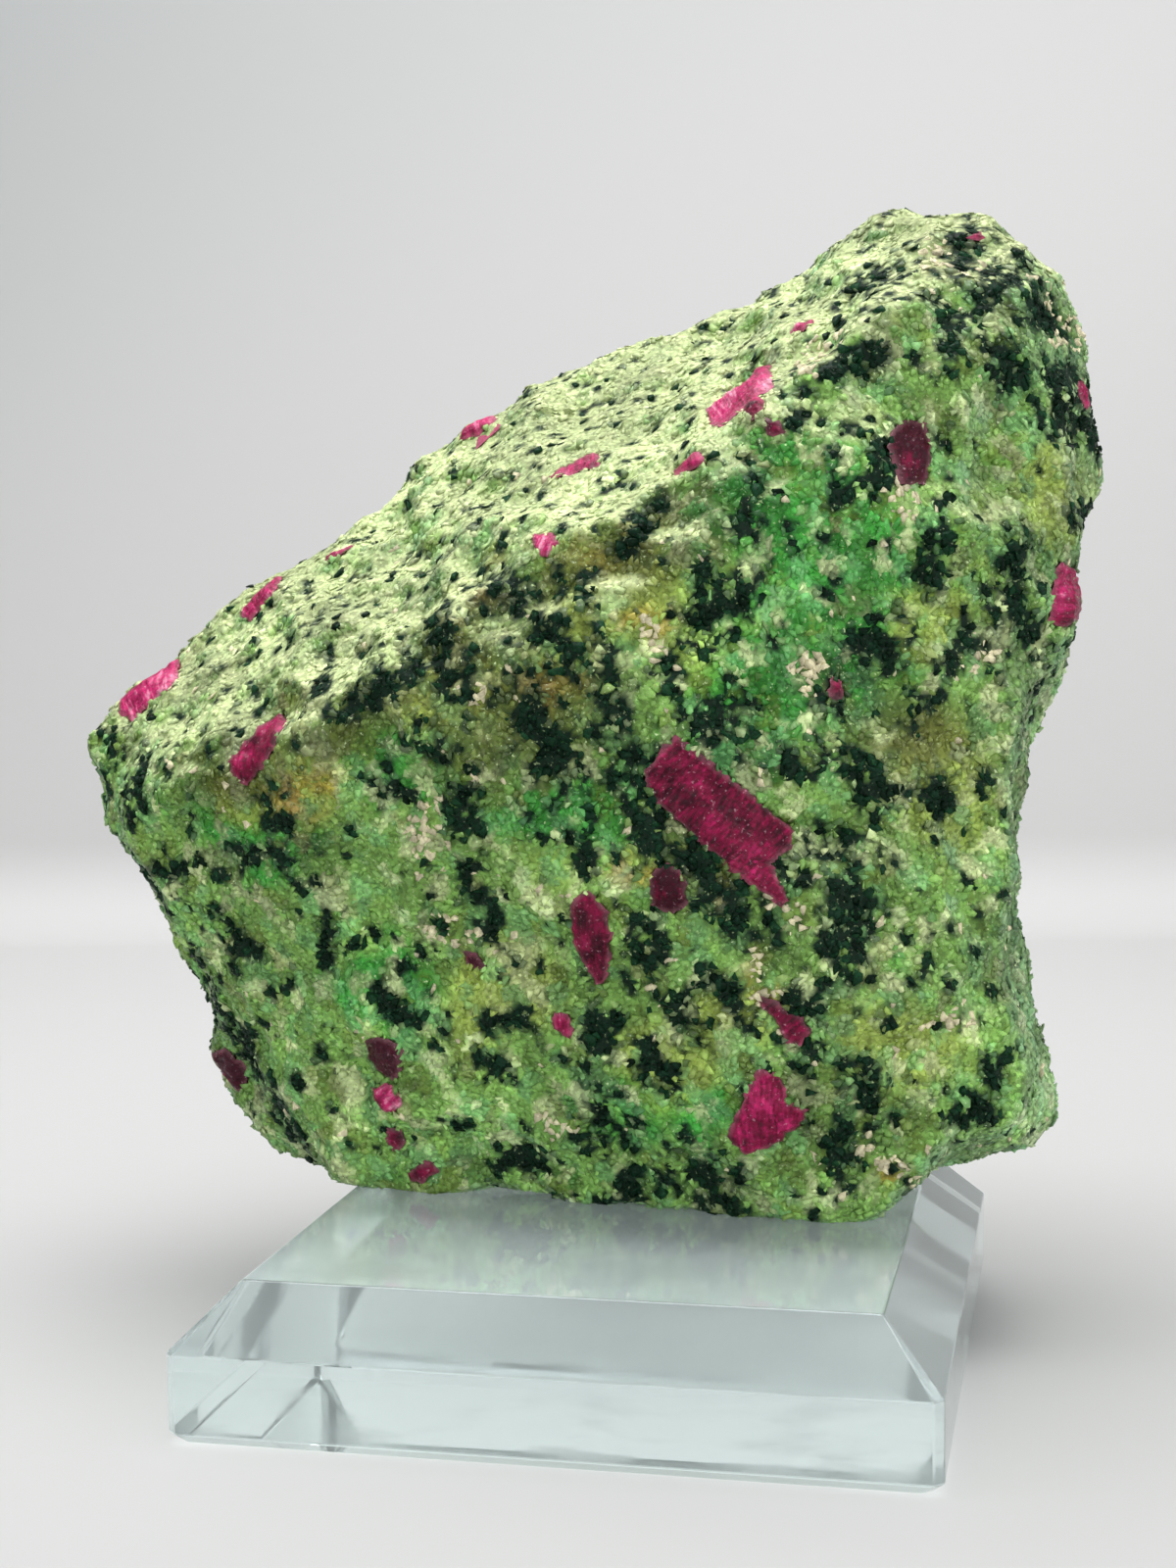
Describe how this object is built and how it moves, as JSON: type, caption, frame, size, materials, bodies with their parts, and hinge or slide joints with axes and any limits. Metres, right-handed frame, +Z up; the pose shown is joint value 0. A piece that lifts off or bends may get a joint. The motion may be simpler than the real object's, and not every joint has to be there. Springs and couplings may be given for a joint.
{
  "type": "ruby in zoisite mineral specimen",
  "caption": "Rough block of green zoisite rock with dark hornblende and ruby crystals, standing on a bevelled square block of clear glass.",
  "frame": {"origin": "middle of the glass block's underside", "axes": "+Z up; -Y towards the front, the side that the stone's broad broken face looks to; +X to the right seen from the front"},
  "size_m": [0.1545, 0.1184, 0.1664],
  "materials": {
    "stone": "rough broken granular rock",
    "clear_glass": "polished"
  },
  "bodies": {
    "root": {"ruby_in_zoisite_stone": "stone", "glass_base": "clear_glass"}
  },
  "joints": []
}
